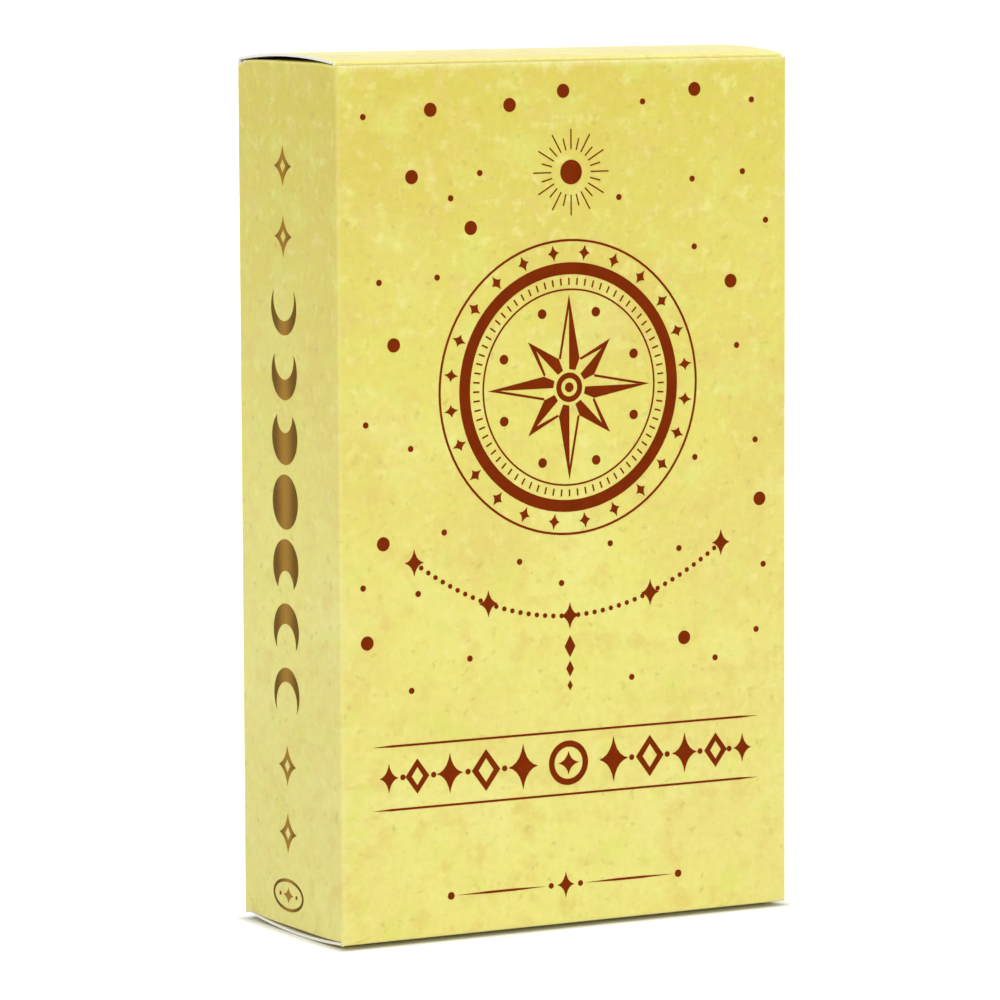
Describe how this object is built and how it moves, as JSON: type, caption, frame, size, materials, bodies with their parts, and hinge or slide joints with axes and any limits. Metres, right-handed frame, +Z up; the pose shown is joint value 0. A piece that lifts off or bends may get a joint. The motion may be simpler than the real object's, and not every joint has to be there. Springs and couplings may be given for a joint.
{
  "type": "boxed card deck",
  "caption": "Upright tuck-end folding carton with hinged lid and base, tucks and dust flaps, holding a stack of large round-cornered cards and a stapled guidebook.",
  "frame": {"origin": "middle of the closed carton's footprint, on the surface that it stands on", "axes": "+X to the right of the front panel, +Y from the front panel to the back panel, +Z up"},
  "size_m": [0.0728, 0.0308, 0.1241],
  "materials": {
    "printed_board": "satin printed folding board",
    "card_stock": "smooth coated card",
    "cover_stock": "uncoated printed paper",
    "page_stock": "uncoated paper",
    "staple_steel": "plain wire"
  },
  "bodies": {
    "sleeve": {"front_panel": "printed_board", "back_panel": "printed_board", "left_panel": "printed_board", "right_panel": "printed_board", "glue_flap": "printed_board"},
    "lid": {"lid_panel": "printed_board"},
    "lid_tuck": {"lid_tuck": "printed_board"},
    "top_left_flap": {"top_left_dust_flap": "printed_board"},
    "top_right_flap": {"top_right_dust_flap": "printed_board"},
    "base": {"base_panel": "printed_board"},
    "base_tuck": {"base_tuck": "printed_board"},
    "base_left_flap": {"base_left_dust_flap": "printed_board"},
    "base_right_flap": {"base_right_dust_flap": "printed_board"},
    "deck": {"trump_card_00": "card_stock", "trump_card_01": "card_stock", "trump_card_02": "card_stock", "trump_card_03": "card_stock", "trump_card_04": "card_stock", "trump_card_05": "card_stock", "trump_card_06": "card_stock", "trump_card_07": "card_stock", "trump_card_08": "card_stock", "trump_card_09": "card_stock", "trump_card_10": "card_stock", "trump_card_11": "card_stock", "trump_card_12": "card_stock", "trump_card_13": "card_stock", "trump_card_14": "card_stock", "trump_card_15": "card_stock", "trump_card_16": "card_stock", "trump_card_17": "card_stock", "trump_card_18": "card_stock", "trump_card_19": "card_stock", "trump_card_20": "card_stock", "trump_card_21": "card_stock", "suit_of_cups": "card_stock", "suit_of_coins": "card_stock", "suit_of_swords": "card_stock", "suit_of_wands": "card_stock"},
    "guidebook": {"guidebook_cover": "cover_stock", "guidebook_sheet_1": "page_stock", "guidebook_sheet_2": "page_stock", "guidebook_sheet_3": "page_stock", "guidebook_sheet_4": "page_stock", "guidebook_sheet_5": "page_stock", "guidebook_sheet_6": "page_stock", "guidebook_lower_staple": "staple_steel", "guidebook_upper_staple": "staple_steel"}
  },
  "joints": [
    {"name": "lid_hinge", "type": "hinge", "parent": "sleeve", "child": "lid", "pos_m": [0, 0.01478, 0.1236], "axis": [-1, 0, 0], "range_deg": [0, 180]},
    {"name": "lid_tuck_fold", "type": "hinge", "parent": "lid", "child": "lid_tuck", "pos_m": [0, -0.01458, 0.1236], "axis": [1, 0, 0], "range_deg": [0, 27]},
    {"name": "top_left_flap_fold", "type": "hinge", "parent": "sleeve", "child": "top_left_flap", "pos_m": [-0.0364, 0, 0.1229], "axis": [0, -1, 0], "range_deg": [0, 90]},
    {"name": "top_right_flap_fold", "type": "hinge", "parent": "sleeve", "child": "top_right_flap", "pos_m": [0.0364, 0, 0.1229], "axis": [0, 1, 0], "range_deg": [0, 90]},
    {"name": "base_hinge", "type": "hinge", "parent": "sleeve", "child": "base", "pos_m": [0, -0.01478, 0], "axis": [-1, 0, 0], "range_deg": [0, 180]},
    {"name": "base_tuck_fold", "type": "hinge", "parent": "base", "child": "base_tuck", "pos_m": [0, 0.01458, 0], "axis": [1, 0, 0], "range_deg": [0, 27]},
    {"name": "base_left_flap_fold", "type": "hinge", "parent": "sleeve", "child": "base_left_flap", "pos_m": [-0.0364, 0, 0.0008], "axis": [0, 1, 0], "range_deg": [0, 90]},
    {"name": "base_right_flap_fold", "type": "hinge", "parent": "sleeve", "child": "base_right_flap", "pos_m": [0.0364, 0, 0.0008], "axis": [0, -1, 0], "range_deg": [0, 90]},
    {"name": "deck_slide", "type": "slide", "parent": "sleeve", "child": "deck", "axis": [0, 0, 1], "range_m": [0, 0.001]},
    {"name": "guidebook_slide", "type": "slide", "parent": "sleeve", "child": "guidebook", "axis": [0, 0, 1], "range_m": [0, 0.004]}
  ],
  "couplings": [
    {"joint": "lid_tuck_fold", "follows": "lid_hinge", "ratio": 0.15},
    {"joint": "top_left_flap_fold", "follows": "lid_hinge", "ratio": 0.5},
    {"joint": "top_right_flap_fold", "follows": "lid_hinge", "ratio": 0.5},
    {"joint": "base_tuck_fold", "follows": "base_hinge", "ratio": 0.15},
    {"joint": "base_left_flap_fold", "follows": "base_hinge", "ratio": 0.5},
    {"joint": "base_right_flap_fold", "follows": "base_hinge", "ratio": 0.5}
  ]
}
